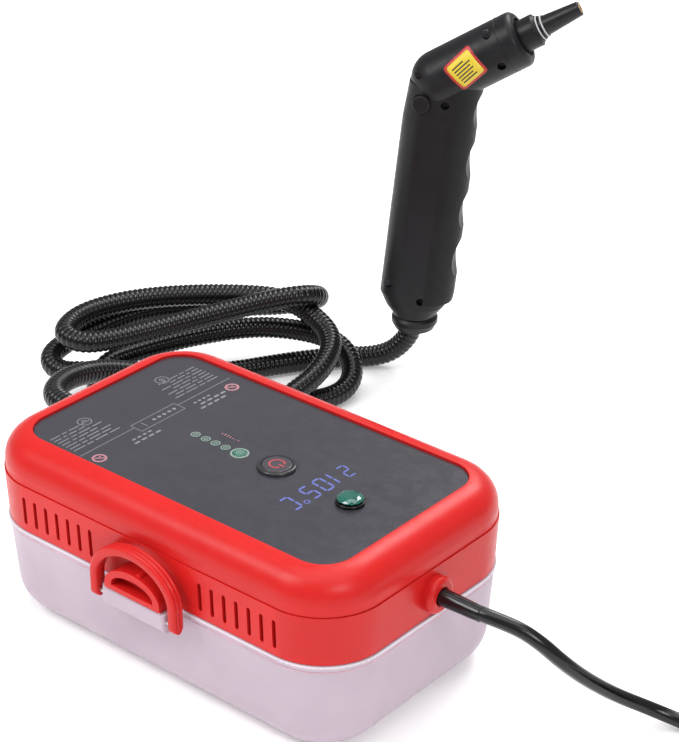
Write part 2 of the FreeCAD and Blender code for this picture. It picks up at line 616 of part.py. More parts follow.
def gun_shell(side):
    """One clamshell half; side is +1 for left, -1 for right."""
    half = box(-60, 120, 0, 40, 20, 320) if side > 0 else box(-60, 120, -40, 0, 20, 320)
    cavity = gun_body(GUN_WALL)
    shell = gun_body(0).cut(cavity).common(half)
    shell = shell.cut(rod(on_barrel(BARREL_FRONT - 1.8), BARREL_DIR, 14.4, 12))
    shell = shell.cut(rod(on_barrel(0), BARREL_DIR, 12.0, 20))
    shell = shell.cut(rod((2, 0, 40), Z_AXIS, 9.0, 20))
    if side < 0:
        for x, z in GUN_SCREW_XZ:
            post = rod((x, -17, z), Y_AXIS, 4.2, 17).common(gun_body(0))
            shell = shell.fuse(post).cut(rod((x, -40, z), Y_AXIS, 3.1, 31))
        x, z = GUN_BUTTON_XZ
        shell = shell.cut(rod((x, -40, z), Y_AXIS, GUN_BUTTON_R + BUTTON_GAP, 40))
    return shell


def gun_screws():
    screws = []
    for x, z in GUN_SCREW_XZ:
        head = rod((x, -12.4, z), Y_AXIS, 2.8, 2.4)
        head = head.cut(box(x - 1.8, x + 1.8, -13, -11.6, z - 0.4, z + 0.4))
        head = head.cut(box(x - 0.4, x + 0.4, -13, -11.6, z - 1.8, z + 1.8))
        screws.append(head)
    return Part.makeCompound(screws)


def gun_grip():
    """Soft front of the handle with four finger hollows, running up into the barrel."""
    band = box(-60, 120, -40, 40, 62, 232)
    skin = handle(4.6, 0).common(band).cut(handle(0, 0)).cut(gun_body(0))
    for z, depth_x in ((93.5, 30.6), (131.0, 34.6), (170.0, 38.6), (207.0, 42.6)):
        skin = skin.cut(rod((depth_x + 33.0, -40, z), Y_AXIS, 34.5, 80))
    return skin


def gun_collar():
    base = V(1.0, 0, 36.6)
    lower = cone(tuple(base), Z_AXIS, 14.6, 17.2, 5.0)
    upper = rod((1.0, 0, 41.6), Z_AXIS, 17.2, 3.4)
    neck = cone((1.0, 0, 45.0), Z_AXIS, 17.2, 14.0, 3.5)
    socket = fuse(rod((1.0, 0, 30), Z_AXIS, HOSE_R + 0.1, 14.2), rod((1.0, 0, 40), Z_AXIS, 3.2, 20))
    return fuse(lower, upper, neck).cut(socket)


def gun_button():
    x, z = GUN_BUTTON_XZ
    cap = rod((x, -19.6, z), Y_AXIS, GUN_BUTTON_R, 5.6)
    cap = cap.makeFillet(1.2, [e for e in cap.Edges if e.BoundBox.YMax < -19.5])
    return fuse(cap, rod((x, -14.0, z), Y_AXIS, 2.0, 4.0))


def gun_switch():
    x, z = GUN_BUTTON_XZ
    return box(x - 5, x + 5, -7.8, 0.6, z - 10, z + 10)


def gun_steam_tube():
    end = on_barrel(3.9)
    bend_x, _, bend_z = on_barrel(-38)
    last_x, _, last_z = on_barrel(-14)
    points = ((1.0, 0, 45.1), (1.0, 0, 66), (4.5, 4, 96), (14.0, 4, 160), (21.0, 4, 205), (bend_x, 4, bend_z),
              (last_x, 1.0, last_z), end)
    return route_tube("gun_steam_tube", points, 2.8)


def nozzle_socket():
    collar = fuse(rod(on_barrel(4.0), BARREL_DIR, 11.4, 5.2), rod(on_barrel(9.0), BARREL_DIR, 11.8, 11.0))
    step = cone(on_barrel(20.0), BARREL_DIR, 11.0, 9.4, 2.2)
    land = rod(on_barrel(22.0), BARREL_DIR, 8.8, 1.8)
    spigot = rod(on_barrel(4.0), BARREL_DIR, 8.0, 22.3)
    body = fuse(collar, step, land, spigot)
    return body.cut(rod(on_barrel(0), BARREL_DIR, 2.6, 40)).cut(oring(0)).cut(oring(1))


def oring(index):
    along, radius = ((22.9, 8.6), (26.0, 7.8))[index]
    return Part.makeTorus(radius, 0.6, V(*on_barrel(along)), BARREL_DIR)


def nozzle_tip():
    cone_part = cone(on_barrel(26.9), BARREL_DIR, 7.3, 5.2, 26.8)
    mouth = [e for e in cone_part.Edges if e.Closed and e.BoundBox.XMin > on_barrel(50)[0]]
    cone_part = cone_part.makeFillet(0.8, mouth)
    bore = fuse(rod(on_barrel(20), BARREL_DIR, 2.6, 26), rod(on_barrel(45.5), BARREL_DIR, 3.6, 10))
    return cone_part.cut(bore)


def nozzle_orifice():
    insert = rod(on_barrel(46.1), BARREL_DIR, 3.55, 7.8)
    return insert.cut(rod(on_barrel(40), BARREL_DIR, 1.3, 20))


def gun_label():
    sheet = rod(on_barrel(-54), BARREL_DIR, BARREL_R + 0.4, 42)
    sheet = sheet.cut(rod(on_barrel(-55), BARREL_DIR, BARREL_R + 0.12, 44))
    patch = box(-12, 12, -24, -8, -11.0, 11.0)
    patch.rotate(V(0, 0, 0), Y_AXIS, -LABEL_TILT)
    centre = V(*on_barrel(-33.2)) + BARREL_UP * 2.4
    patch.translate(centre)
    return sheet.common(patch).cut(gun_body(0))


# ---------------------------------------------------------------- export

PIECES = {
    "water_tank": water_tank(),
    "tank_gasket": tank_gasket(),
    "latch_pin_front": latch_pin(),
    "latch_pin_back": mirror_y(latch_pin()),
    "latch_front": latch(),
    "latch_back": mirror_y(latch()),
    "mid_frame": mid_frame(),
    "head_floor": head_floor(),
    "top_cover": top_cover(),
    "cover_screws": cover_screws(),
    "control_panel": control_panel(),
    "display_module": display_module(),
    "power_bezel": bezel(POWER_XY, POWER_R, 2.2, 1.4),
    "power_button": power_button(),
    "power_switch": power_switch(),
    "mode_bezel": bezel(MODE_XY, MODE_R, 0.5, 0.2),
    "mode_button": mode_button(),
    "mode_switch": mode_switch(),
    "lamp_bezel": lamp_bezel(),
    "lamp_lens": lamp_lens(),
    "control_board": control_board(),
    "pump_body": pump_body(),
    "pump_core": pump_core(),
    "pump_mounts": pump_mounts(),
    "thermoblock": thermoblock(),
    "thermostat": thermostat(),
    "relief_valve": relief_valve(),
    "steam_pipe": steam_pipe(),
    "water_tube": water_tube(),
    "suction_tube": suction_tube(),
    "suction_filter": suction_filter(),
    "terminal_block": terminal_block(),
    "cord_sleeve": cord_sleeve(),
    "hose_gland": hose_gland(),
    "mains_cord": mains_cord(),
    "mains_cord_coil": mains_cord_coil(),
    "plug_body": plug_body(),
    "plug_pins": plug_pins(),
    "hose_lead": route_tube("hose_lead", HOSE_LEAD, HOSE_R),
    "hose_coil": hose_coil(),
    "hose_gun_lead": route_tube("hose_gun_lead", GUN_LEAD, HOSE_R),
}
for number, led_x in enumerate(LED_XS, start=1):
    PIECES["level_led_%d" % number] = level_led(led_x)

GUN_PIECES = {
    "gun_shell_left": gun_shell(1),
    "gun_shell_right": gun_shell(-1),
    "gun_screws": gun_screws(),
    "gun_grip": gun_grip(),
    "gun_collar": gun_collar(),
    "gun_button": gun_button(),
    "gun_switch": gun_switch(),
    "gun_steam_tube": gun_steam_tube(),
    "gun_label": gun_label(),
    "nozzle_socket": nozzle_socket(),
    "nozzle_oring_rear": oring(0),
    "nozzle_oring_front": oring(1),
    "nozzle_tip": nozzle_tip(),
    "nozzle_orifice": nozzle_orifice(),
}
for name, shape in GUN_PIECES.items():
    PIECES[name] = place_gun(shape)

os.makedirs("parts", exist_ok=True)
for name, shape in PIECES.items():
    print(name, len(shape.Solids), shape.isValid(), round(shape.Volume / 1000, 2), "cm3")
    shape.exportStep("parts/" + name + ".step")
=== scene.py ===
"""Portable steam cleaner: camera, leads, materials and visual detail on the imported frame."""

import math

import bmesh
import bpy
from mathutils import Matrix, Vector


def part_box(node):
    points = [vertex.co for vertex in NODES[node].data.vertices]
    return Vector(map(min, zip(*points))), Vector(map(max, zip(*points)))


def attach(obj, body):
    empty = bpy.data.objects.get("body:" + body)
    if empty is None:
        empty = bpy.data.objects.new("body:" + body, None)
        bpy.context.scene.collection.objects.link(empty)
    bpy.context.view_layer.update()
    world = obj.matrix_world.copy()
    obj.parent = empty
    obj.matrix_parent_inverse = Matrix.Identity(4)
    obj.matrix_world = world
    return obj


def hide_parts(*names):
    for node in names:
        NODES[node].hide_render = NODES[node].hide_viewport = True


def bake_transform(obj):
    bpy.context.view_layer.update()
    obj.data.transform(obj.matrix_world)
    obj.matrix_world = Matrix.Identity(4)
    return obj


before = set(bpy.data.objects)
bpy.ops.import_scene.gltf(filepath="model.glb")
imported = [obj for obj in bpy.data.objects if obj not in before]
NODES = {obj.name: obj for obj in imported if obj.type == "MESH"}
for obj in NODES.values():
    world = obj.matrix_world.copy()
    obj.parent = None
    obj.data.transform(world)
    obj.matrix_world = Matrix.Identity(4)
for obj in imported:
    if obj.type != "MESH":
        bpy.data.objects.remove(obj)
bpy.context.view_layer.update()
MM = 0.001
SCENE = bpy.context.scene
SCENE.view_settings.view_transform = "Standard"


# ---------------------------------------------------------------- camera

CAMERA_AT = (0.79273, -0.86005, 0.79289)
CAMERA_AZIMUTH, CAMERA_ELEVATION, CAMERA_ROLL = 39.98, 27.81, 0.31
CAMERA_LENS = 109.49


def make_camera():
    data = bpy.data.cameras.new("camera")
    data.sensor_width = 36
    data.sensor_fit = "AUTO"
    data.lens = CAMERA_LENS
    data.clip_start = 0.05
    camera = bpy.data.objects.new("camera", data)
    SCENE.collection.objects.link(camera)
    turn = Matrix.Rotation(math.radians(CAMERA_AZIMUTH), 4, "Z")
    tilt = Matrix.Rotation(math.radians(90 - CAMERA_ELEVATION), 4, "X")
    roll = Matrix.Rotation(math.radians(CAMERA_ROLL), 4, "Z")
    camera.matrix_world = Matrix.Translation(CAMERA_AT) @ turn @ tilt @ roll
    SCENE.camera = camera


# ---------------------------------------------------------------- mesh and material helpers

def new_object(name, mesh):
    obj = bpy.data.objects.new(name, mesh)
    SCENE.collection.objects.link(obj)
    return obj


def from_bmesh(name, bm, smooth=True):
    mesh = bpy.data.meshes.new(name)
    bmesh.ops.recalc_face_normals(bm, faces=bm.faces)
    bm.to_mesh(mesh)
    bm.free()
    for poly in mesh.polygons:
        poly.use_smooth = smooth
    return new_object(name, mesh)


class Nodes:
    """Short way to build a node tree."""

    def __init__(self, name):
        self.mat = bpy.data.materials.new(name)
        self.mat.use_nodes = True
        self.tree = self.mat.node_tree
        self.shader = self.tree.nodes["Principled BSDF"]
        self.place = self.add("ShaderNodeTexCoord").outputs["Object"]

    def add(self, kind, **settings):
        node = self.tree.nodes.new(kind)
        for key, value in settings.items():
            if key.startswith("in_"):
                node.inputs[key[3:].replace("_", " ")].default_value = value
            else:
                setattr(node, key, value)
        return node

    def link(self, a, b):
        self.tree.links.new(a, b)

    def noise(self, scale, detail=3.0, rough=0.5, stretch=(1, 1, 1)):
        """Noise at scale cycles per metre, as a number from 0 to 1."""
        mapping = self.add("ShaderNodeMapping")
        mapping.inputs["Scale"].default_value = stretch
        self.link(self.place, mapping.inputs["Vector"])
        node = self.add("ShaderNodeTexNoise", in_Scale=scale, in_Detail=detail, in_Roughness=rough)
        self.link(mapping.outputs["Vector"], node.inputs["Vector"])
        return node.outputs["Fac"]

    def spread(self, value, low, high, from_low=0.3, from_high=0.7):
        node = self.add("ShaderNodeMapRange")
        for key, number in zip(("From Min", "From Max", "To Min", "To Max"), (from_low, from_high, low, high)):
            node.inputs[key].default_value = number
        self.link(value, node.inputs["Value"])
        return node.outputs["Result"]

    def ramp(self, value, stops):
        node = self.add("ShaderNodeValToRGB")
        ramp = node.color_ramp
        while len(ramp.elements) < len(stops):
            ramp.elements.new(0.5)
        for element, (at, colour) in zip(ramp.elements, stops):
            element.position = at
            element.color = (*colour, 1)
        self.link(value, node.inputs["Fac"])
        return node.outputs["Color"]

    def bump(self, height, distance, strength=1.0, after=None):
        node = self.add("ShaderNodeBump", in_Distance=distance, in_Strength=strength)
        self.link(height, node.inputs["Height"])
        if after is not None:
            self.link(after, node.inputs["Normal"])
        return node.outputs["Normal"]

    def set(self, **values):
        for key, value in values.items():
            socket = self.shader.inputs[key.replace("_", " ")]
            if hasattr(value, "is_linked"):
                self.link(value, socket)
            else:
                socket.default_value = (*value, 1) if socket.type == "RGBA" else value


def shade(colour, factor):
    return tuple(min(1.0, c * factor) for c in colour)


def moulded(name, colour, rough, grain=0.00005, grain_scale=1500, mottling=0.06, flow=0.06, edge_highlight=0.0,
            **extra):
    """Moulded plastic or rubber: fine spark-eroded grain, slow colour drift, and a painted highlight lightening sharp
    edges.
    """
    n = Nodes(name)
    drift = n.noise(35, 3)
    n.set(Base_Color=n.ramp(drift, [(0.3, shade(colour, 1 - mottling)), (0.7, shade(colour, 1 + mottling))]))
    fine = n.noise(grain_scale, 2, 0.6)
    broad = n.noise(160, 4, 0.6)
    rough_map = n.spread(broad, rough - flow, rough + flow)
    n.set(Roughness=rough_map)
    n.set(Normal=n.bump(fine, grain, 0.5, n.bump(broad, 0.00006, 0.35)))
    # Painted highlight: convex edges, found by pointiness, are lightened in the base colour.
    if edge_highlight:
        pointy = n.add("ShaderNodeNewGeometry").outputs["Pointiness"]
        edge = n.spread(pointy, 0, edge_highlight, 0.52, 0.60)
        mix = n.add("ShaderNodeMix", data_type="RGBA")
        n.link(edge, mix.inputs["Factor"])
        n.link(n.shader.inputs["Base Color"].links[0].from_socket, mix.inputs["A"])
        mix.inputs["B"].default_value = (*shade(colour, 1.5), 1)
        n.link(mix.outputs["Result"], n.shader.inputs["Base Color"])
    n.set(**extra)
    return n.mat


# ---------------------------------------------------------------- leads: routes in millimetres

CORD_RADIUS, CORD_EXIT = 4.5, (157.0, 0, 82.6)
CORD_STEP = 0.0028                                                   # metres between rings of the mesh
CORE_GROOVE_AT, CORE_GROOVE_WIDTH, CORE_GROOVE_DEPTH = 0.6, 0.30, 0.10   # radians, radians, share of radius
HOSE_RADIUS, HOSE_EXIT = 7.9, (-157.0, 21, 80)
HOSE_PITCH = 0.0037                                                  # metres from rib to rib
HOSE_RIB = [1.0, 1.005, 1.005, 1.0, 0.965, 0.91, 0.965]              # radius along one rib, as a share

CORD_ROUTE = [CORD_EXIT, (171, 0, 82.6), (185, 1.8, 82.2), (199, 7.2, 78.4), (210.5, 11.6, 71.6),
              (219.4, 18.4, 60.5), (226.6, 33.0, 44.0), (234.2, 53.7, 25.2), (245.8, 72, 11.5), (268, 82, 4.5),
              (293.3, 80.3, 4.5), (316, 79.3, 4.5)]
COIL_CENTRE, COIL_MID_R, COIL_GAP = (328.0, 132.8), 49.0, 9.2
COIL_TURNS, COIL_STEPS = 5, 28
COIL_SLOTS = [(1, 0), (-1, 0), (-1, 1), (-1, 2), (1, 2), (1, 1)]     # outer or inner side, layer
SLOT_STAY, SLOT_CHANGE = 0.86, 0.14                                  # in turns
COIL_SHORT_BY = 0.06                                                 # turns left off where the plug's end begins
LAYER_RISE = 0.98                                                    # of the gap between turns
PLUG_ROUTE = [(330, 79.2, 13.4), (341, 79.2, 13.5), (351, 79.2, 15.0), (360, 79.2, 17.3), (369, 79.2, 18.4),
              (372, 79.2, 18.4)]

HOSE_ROUTE = [HOSE_EXIT, (-178, 21, 80), (-201, 27, 79), (-213, 50, 77), (-214, 82, 71), (-206, 115, 58),
              (-192, 150, 42), (-175, 186, 25), (-157, 215, 11), (-144, 237, 8), (-139, 256, 9), (-143, 272, 14),
              (-154, 281, 24), (-172, 283, 31), (-198, 276, 33), (-229, 254, 34), (-255, 210, 33), (-272, 172, 30),
              (-280, 153.6, 26), (-275, 134.5, 18), (-255, 130.5, 12), (-235, 145, 8.5), (-206, 160, 8),
              (-177, 175, 8.5), (-152, 196, 18), (-141, 226, 32),
              (-149, 254, 39), (-163, 269, 44), (-181, 272, 51), (-199, 268, 59), (-217, 255, 63), (-252, 225, 64),
              (-282, 193, 63), (-298, 163, 61), (-302, 142.5, 58), (-293.5, 123.5, 56), (-274, 124.5, 54.5),
              (-262, 146, 54), (-249, 172, 56), (-231, 203, 60), (-210, 234, 65), (-195.3, 251.3, 69),
              (-184, 266, 69.5), (-185.5, 284.9, 61.5), (-205, 297.5, 47), (-231.5, 283.6, 39), (-269.5, 246.4, 41),
              (-290, 211, 45), (-297, 183, 45), (-301, 162, 42.5), (-309, 141.8, 38), (-305.5, 119.5, 35),
              (-288, 112.5, 31.5), (-270.5, 127, 32), (-256, 149, 28), (-242, 175, 20), (-225, 216, 10),
              (-201, 267, 8), (-176, 301, 8), (-161, 313, 8), (-148, 322.5, 13), (-139, 328, 24),
              (-134.4, 330.6, 36), (-133.1, 331, 47)]


def coil_points():
    """Turns of the put-away coil: the lead fills one slot after another, so its turns never meet."""
    points = []
    for i in range(1, COIL_TURNS * COIL_STEPS):
        t = i / COIL_STEPS
        slot = min(int((t + SLOT_CHANGE / 2) / SLOT_STAY), len(COIL_SLOTS) - 1)
        into = min(max((t + SLOT_CHANGE / 2 - slot * SLOT_STAY) / SLOT_CHANGE, 0), 1) if slot else 1
        ease = 0.5 - 0.5 * math.cos(math.pi * into)
        before, after = COIL_SLOTS[max(slot - 1, 0)], COIL_SLOTS[slot]
        side = before[0] + (after[0] - before[0]) * ease
        layer = before[1] + (after[1] - before[1]) * ease
        radius = COIL_MID_R + side * COIL_GAP / 2
        angle = 2 * math.pi * t - math.pi / 2
        if t > COIL_TURNS - COIL_SHORT_BY:
            break
        points.append((COIL_CENTRE[0] + radius * math.cos(angle), COIL_CENTRE[1] + radius * math.sin(angle),
                       CORD_RADIUS + layer * COIL_GAP * LAYER_RISE))
    return points


def route_line(name, points):
    """Points along a route in metres, read from a NURBS spline on its points."""
    data = bpy.data.curves.new(name, "CURVE")
    data.dimensions = "3D"
    data.resolution_u = 32
    spline = data.splines.new("NURBS")
    spline.points.add(len(points) - 1)
    for point, place in zip(spline.points, points):
        point.co = (place[0] * MM, place[1] * MM, place[2] * MM, 1)
    spline.order_u = 3
    spline.use_endpoint_u = True
    route = new_object(name, data)
    bpy.context.view_layer.update()
    mesh = bpy.data.meshes.new_from_object(route)
    line = [v.co.copy() for v in mesh.vertices]
    bpy.data.objects.remove(route)
    bpy.data.meshes.remove(mesh)
    return line


def evenly(line, step):
    """The same line with a point every step, and its length."""
    along = [0.0]
    for a, b in zip(line, line[1:]):
        along.append(along[-1] + (b - a).length)
    count = max(2, round(along[-1] / step))
    places, k = [], 0
    for i in range(count + 1):
        s = along[-1] * i / count
        while k < len(line) - 2 and along[k + 1] < s:
            k += 1
        places.append(line[k].lerp(line[k + 1], (s - along[k]) / max(along[k + 1] - along[k], 1e-9)))
    return places, along[-1]


def sweep(name, places, section, sides):
    """Closed tube along places. section(i, angle) gives its radius in metres at a place and angle."""
    bm = bmesh.new()
    rings, side = [], None
    for i, place in enumerate(places):
        ahead = (places[min(i + 1, len(places) - 1)] - places[max(i - 1, 0)]).normalized()
        if side is None:
            side = ahead.cross(Vector((0, 0, 1))).normalized()
        else:
            side = (side - ahead * side.dot(ahead)).normalized()
        over = ahead.cross(side)
        ring = []
        for j in range(sides):
            angle = 2 * math.pi * j / sides
            radius = section(i, angle)
            ring.append(bm.verts.new(place + (side * math.cos(angle) + over * math.sin(angle)) * radius))
        rings.append(ring)
    for a, b in zip(rings, rings[1:]):
        for j in range(sides):
            bm.faces.new((a[j], a[(j + 1) % sides], b[(j + 1) % sides], b[j]))
    bm.faces.new(rings[0][::-1])
    bm.faces.new(rings[-1])
    return from_bmesh(name, bm)


def make_leads():
    """The mains lead with its put-away coil, and the corrugated hose."""
    line = route_line("cord_route", CORD_ROUTE + coil_points() + PLUG_ROUTE)
    places, length = evenly(line, CORD_STEP)

    def twin_core(i, angle):
        groove = math.exp(-(math.sin(angle - CORE_GROOVE_AT) / CORE_GROOVE_WIDTH) ** 2)
        return CORD_RADIUS * MM * (1.02 - CORE_GROOVE_DEPTH * groove)

    cord = sweep("mains_lead", places, twin_core, 28)
    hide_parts("mains_cord", "mains_cord_coil")
    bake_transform(cord)

    line = route_line("hose_route", HOSE_ROUTE)
    places, length = evenly(line, HOSE_PITCH / len(HOSE_RIB))

    def ribbed(i, angle):
        return HOSE_RADIUS * MM * HOSE_RIB[i % len(HOSE_RIB)]

    hose = sweep("steam_hose", places, ribbed, 26)
    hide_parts("hose_lead", "hose_coil", "hose_gun_lead")
    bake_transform(hose)
    return cord, hose


# ---------------------------------------------------------------- floor and light

FLOOR_HALF, FLOOR_GLOW, WORLD_LIGHT = 6.0, 0.18, 0.42
LAMPS = (((-0.7, -1.1, 1.5), 0.8, 19), ((1.4, -0.5, 1.2), 0.6, 9),
         ((-0.3, 1.5, 1.5), 0.9, 20), ((0.1, 0.1, 2.3), 2.2, 32))    # place, side in metres, watts


def make_stage():
    bm = bmesh.new()
    bmesh.ops.create_grid(bm, x_segments=2, y_segments=2, size=FLOOR_HALF)
    floor = from_bmesh("floor", bm)
    n = Nodes("floor")
    n.set(Base_Color=(0.93, 0.93, 0.93), Roughness=0.6, Emission_Color=(1, 1, 1),
          Emission_Strength=FLOOR_GLOW)
    floor.data.materials.append(n.mat)
    world = bpy.data.worlds.new("studio")
    SCENE.world = world
    world.use_nodes = True
    background = world.node_tree.nodes["Background"]
    background.inputs["Color"].default_value = (1, 1, 1, 1)
    background.inputs["Strength"].default_value = WORLD_LIGHT
    for place, size, power in LAMPS:
        data = bpy.data.lights.new("softbox", "AREA")
        data.size = size
        data.energy = power
        light = bpy.data.objects.new("softbox", data)
        SCENE.collection.objects.link(light)
        light.location = place
        light.rotation_euler = (-Vector(place)).to_track_quat("-Z", "Y").to_euler()


# ---------------------------------------------------------------- materials

def red_material():
    # Sharp edges of the red plastic are lightened: a painted highlight.
    return moulded("red_plastic", (0.55, 0.013, 0.012), 0.34, grain=0.00004, grain_scale=2600, mottling=0.03,
                   flow=0.05, edge_highlight=0.25, Specular_IOR_Level=0.24)


def dark_panel_material():
    n = Nodes("panel_gloss")
    drift = n.noise(14, 2)
    n.set(Base_Color=n.ramp(drift, [(0.3, (0.036, 0.035, 0.044)), (0.7, (0.044, 0.042, 0.052))]))
    dust = n.noise(2600, 2, 0.7)
    n.set(Roughness=n.spread(n.noise(90, 4, 0.65), 0.20, 0.34))
    n.set(Normal=n.bump(dust, 0.00001, 0.4, n.bump(n.noise(40, 2), 0.00008, 0.25)))
    n.set(Coat_Weight=0.12, Coat_Roughness=0.10, Specular_IOR_Level=0.36)
    return n.mat


def tank_material():
    n = Nodes("tank_frosted")
    drift = n.noise(22, 3)
    n.set(Base_Color=n.ramp(drift, [(0.3, (0.62, 0.50, 0.59)), (0.7, (0.69, 0.57, 0.66))]))
    fine = n.noise(3200, 2, 0.6)
    n.set(Roughness=n.spread(n.noise(120, 4), 0.38, 0.52))
    n.set(Normal=n.bump(fine, 0.00004, 0.5, n.bump(n.noise(60, 3), 0.0002, 0.3)))
    n.set(Transmission_Weight=0.28, IOR=1.45, Subsurface_Weight=0.5, Subsurface_Radius=(0.01, 0.008, 0.01))
    return n.mat


def metal(name, colour, rough, brush=(1, 1, 30)):
    n = Nodes(name)
    lines = n.noise(900, 3, 0.6, brush)
    n.set(Base_Color=n.ramp(n.noise(60, 3), [(0.3, shade(colour, 0.88)), (0.7, shade(colour, 1.06))]))
    n.set(Metallic=1.0, Roughness=n.spread(lines, rough - 0.08, rough + 0.1))
    n.set(Normal=n.bump(lines, 0.00001, 0.5))
    return n.mat


def painted_glow(name, colour, strength, base=(0.02, 0.02, 0.03)):
    n = Nodes(name)
    spots = n.noise(3000, 1)
    n.set(Base_Color=n.ramp(spots, [(0.3, base), (0.7, shade(base, 1.4))]), Roughness=n.spread(spots, 0.25, 0.4))
    # Painted glow: faint emission on printed marks that are not lit.
    n.set(Emission_Color=colour, Emission_Strength=strength)
    return n.mat


def glassy(name, colour, rough=0.04):
    n = Nodes(name)
    n.set(Base_Color=n.ramp(n.noise(220, 2), [(0.3, shade(colour, 0.75)), (0.7, shade(colour, 1.2))]))
    n.set(Roughness=n.spread(n.noise(500, 3), rough, rough + 0.06), Transmission_Weight=0.35, IOR=1.5)
    n.set(Coat_Weight=1.0, Coat_Roughness=0.02, Normal=n.bump(n.noise(900, 2), 0.00002, 0.3))
    return n.mat


MATS = {
    "red": red_material(),
    "panel": dark_panel_material(),
    "tank": tank_material(),
    "gun": moulded("gun_black", (0.0085, 0.0085, 0.0100), 0.40, grain=0.00008, grain_scale=1700,
                   mottling=0.12, Specular_IOR_Level=0.24),
    "grip": moulded("grip_black", (0.0080, 0.0080, 0.0085), 0.50, grain=0.00012, grain_scale=1300,
                    mottling=0.14, Specular_IOR_Level=0.20),
    "hose": moulded("hose_black", (0.0042, 0.0042, 0.0050), 0.19, grain=0.00002, grain_scale=1800,
                    mottling=0.2, flow=0.05, Specular_IOR_Level=0.34),
    "cord": moulded("cord_black", (0.0050, 0.0050, 0.0062), 0.20, grain=0.00002, grain_scale=900,
                    mottling=0.1, Specular_IOR_Level=0.40),
    "black": moulded("black_plastic", (0.0090, 0.0090, 0.0105), 0.32, mottling=0.1, Specular_IOR_Level=0.3),
    "bezel": moulded("bezel_grey", (0.030, 0.029, 0.034), 0.2, grain=0.00002, mottling=0.1,
                     Specular_IOR_Level=0.4),
    "base": moulded("lamp_base", (0.006, 0.006, 0.007), 0.22, grain=0.00002, mottling=0.1,
                    Specular_IOR_Level=0.3),
    "button": moulded("button_grey", (0.058, 0.050, 0.062), 0.26, grain=0.00002, grain_scale=2400,
                      mottling=0.08, Specular_IOR_Level=0.4),
    "green": glassy("mode_green", (0.03, 0.20, 0.13), 0.15),
    "ring": moulded("ring_white", (0.22, 0.28, 0.25), 0.3, grain=0.00002, mottling=0.06),
    "led": glassy("led_green", (0.06, 0.11, 0.10), 0.2),
    "lamp": glassy("lamp_teal", (0.0, 0.15, 0.11), 0.02),
    # Lighter band on the tank's rim bead: a painted highlight.
    "rim": moulded("tank_rim_highlight", (0.74, 0.66, 0.72), 0.3, grain=0.00001, mottling=0.03),
    "seal_line": moulded("tank_seal_line", (0.62, 0.36, 0.44), 0.4, grain=0.00001, mottling=0.2),
    "oring": moulded("oring_white", (0.46, 0.46, 0.48), 0.5, mottling=0.05),
    "brass": metal("brass", (0.80, 0.52, 0.22), 0.26),
    "steel": metal("steel", (0.62, 0.62, 0.63), 0.28),
    "dark_steel": metal("dark_steel", (0.05, 0.05, 0.055), 0.4),
    "aluminium": metal("aluminium", (0.70, 0.70, 0.71), 0.4, (1, 30, 1)),
    "rubber": moulded("seal_rubber", (0.62, 0.20, 0.22), 0.5, mottling=0.08),
    "floor_red": moulded("floor_plastic", (0.50, 0.035, 0.032), 0.5, mottling=0.08),
    "board": moulded("board_green", (0.015, 0.13, 0.05), 0.4, mottling=0.2),
    "silicone": moulded("silicone", (0.62, 0.60, 0.57), 0.35, mottling=0.06, Transmission_Weight=0.4),
    "yellow": moulded("label_yellow", (0.66, 0.50, 0.03), 0.42, grain=0.00002, mottling=0.04),
    "label_red": moulded("label_red", (0.42, 0.018, 0.018), 0.42, grain=0.00002, mottling=0.05),
    "ink": moulded("label_ink", (0.03, 0.025, 0.02), 0.45, grain=0.00001, mottling=0.1),
    "print": moulded("panel_print", (0.20, 0.20, 0.23), 0.4, grain=0.00001, mottling=0.08),
    "print_pink": moulded("panel_print_pink", (0.46, 0.20, 0.24), 0.4, grain=0.00001, mottling=0.08),
    # Display figures and power symbol get a faint emission: painted glow, as they are not lit.
    "digit": painted_glow("display_digit", (0.16, 0.22, 0.90), 0.09, (0.085, 0.10, 0.30)),
    "power_red": painted_glow("power_icon", (1.0, 0.05, 0.06), 0.10, (0.30, 0.04, 0.05)),
}

FINISH = {
    "red": "mid_frame top_cover latch_front latch_back",
    "panel": "control_panel display_module",
    "tank": "water_tank",
    "gun": "gun_shell_left gun_shell_right gun_collar nozzle_socket gun_button",
    "grip": "gun_grip",
    "black": "cord_sleeve hose_gland plug_body nozzle_tip gun_switch suction_filter pump_body terminal_block",
    "bezel": "power_bezel",
    "base": "lamp_bezel",
    "button": "power_button",
    "green": "mode_button",
    "ring": "mode_bezel",
    "led": "level_led_1 level_led_2 level_led_3 level_led_4",
    "lamp": "lamp_lens",
    "oring": "nozzle_oring_rear nozzle_oring_front",
    "brass": "nozzle_orifice relief_valve",
    "dark_steel": "gun_screws",
    "steel": "latch_pin_front latch_pin_back plug_pins cover_screws pump_core thermostat gun_steam_tube",
    "aluminium": "thermoblock steam_pipe",
    "rubber": "tank_gasket",
    "floor_red": "head_floor",
    "board": "control_board power_switch mode_switch",
    "silicone": "water_tube suction_tube pump_mounts",
    "yellow": "gun_label",
}


def finish_nodes():
    for finish, names in FINISH.items():
        for name in names.split():
            obj = NODES[name]
            if not obj.material_slots:
                obj.data.materials.append(MATS[finish])
            for slot in obj.material_slots:
                slot.material = MATS[finish]


def give(obj, finish):
    """Puts one material on a new piece."""
    obj.data.materials.clear()
    obj.data.materials.append(MATS[finish])
    return obj


# ---------------------------------------------------------------- panel graphics, in millimetres on the panel's plane

PANEL_Z = 121.0
PRINT_H = 0.05


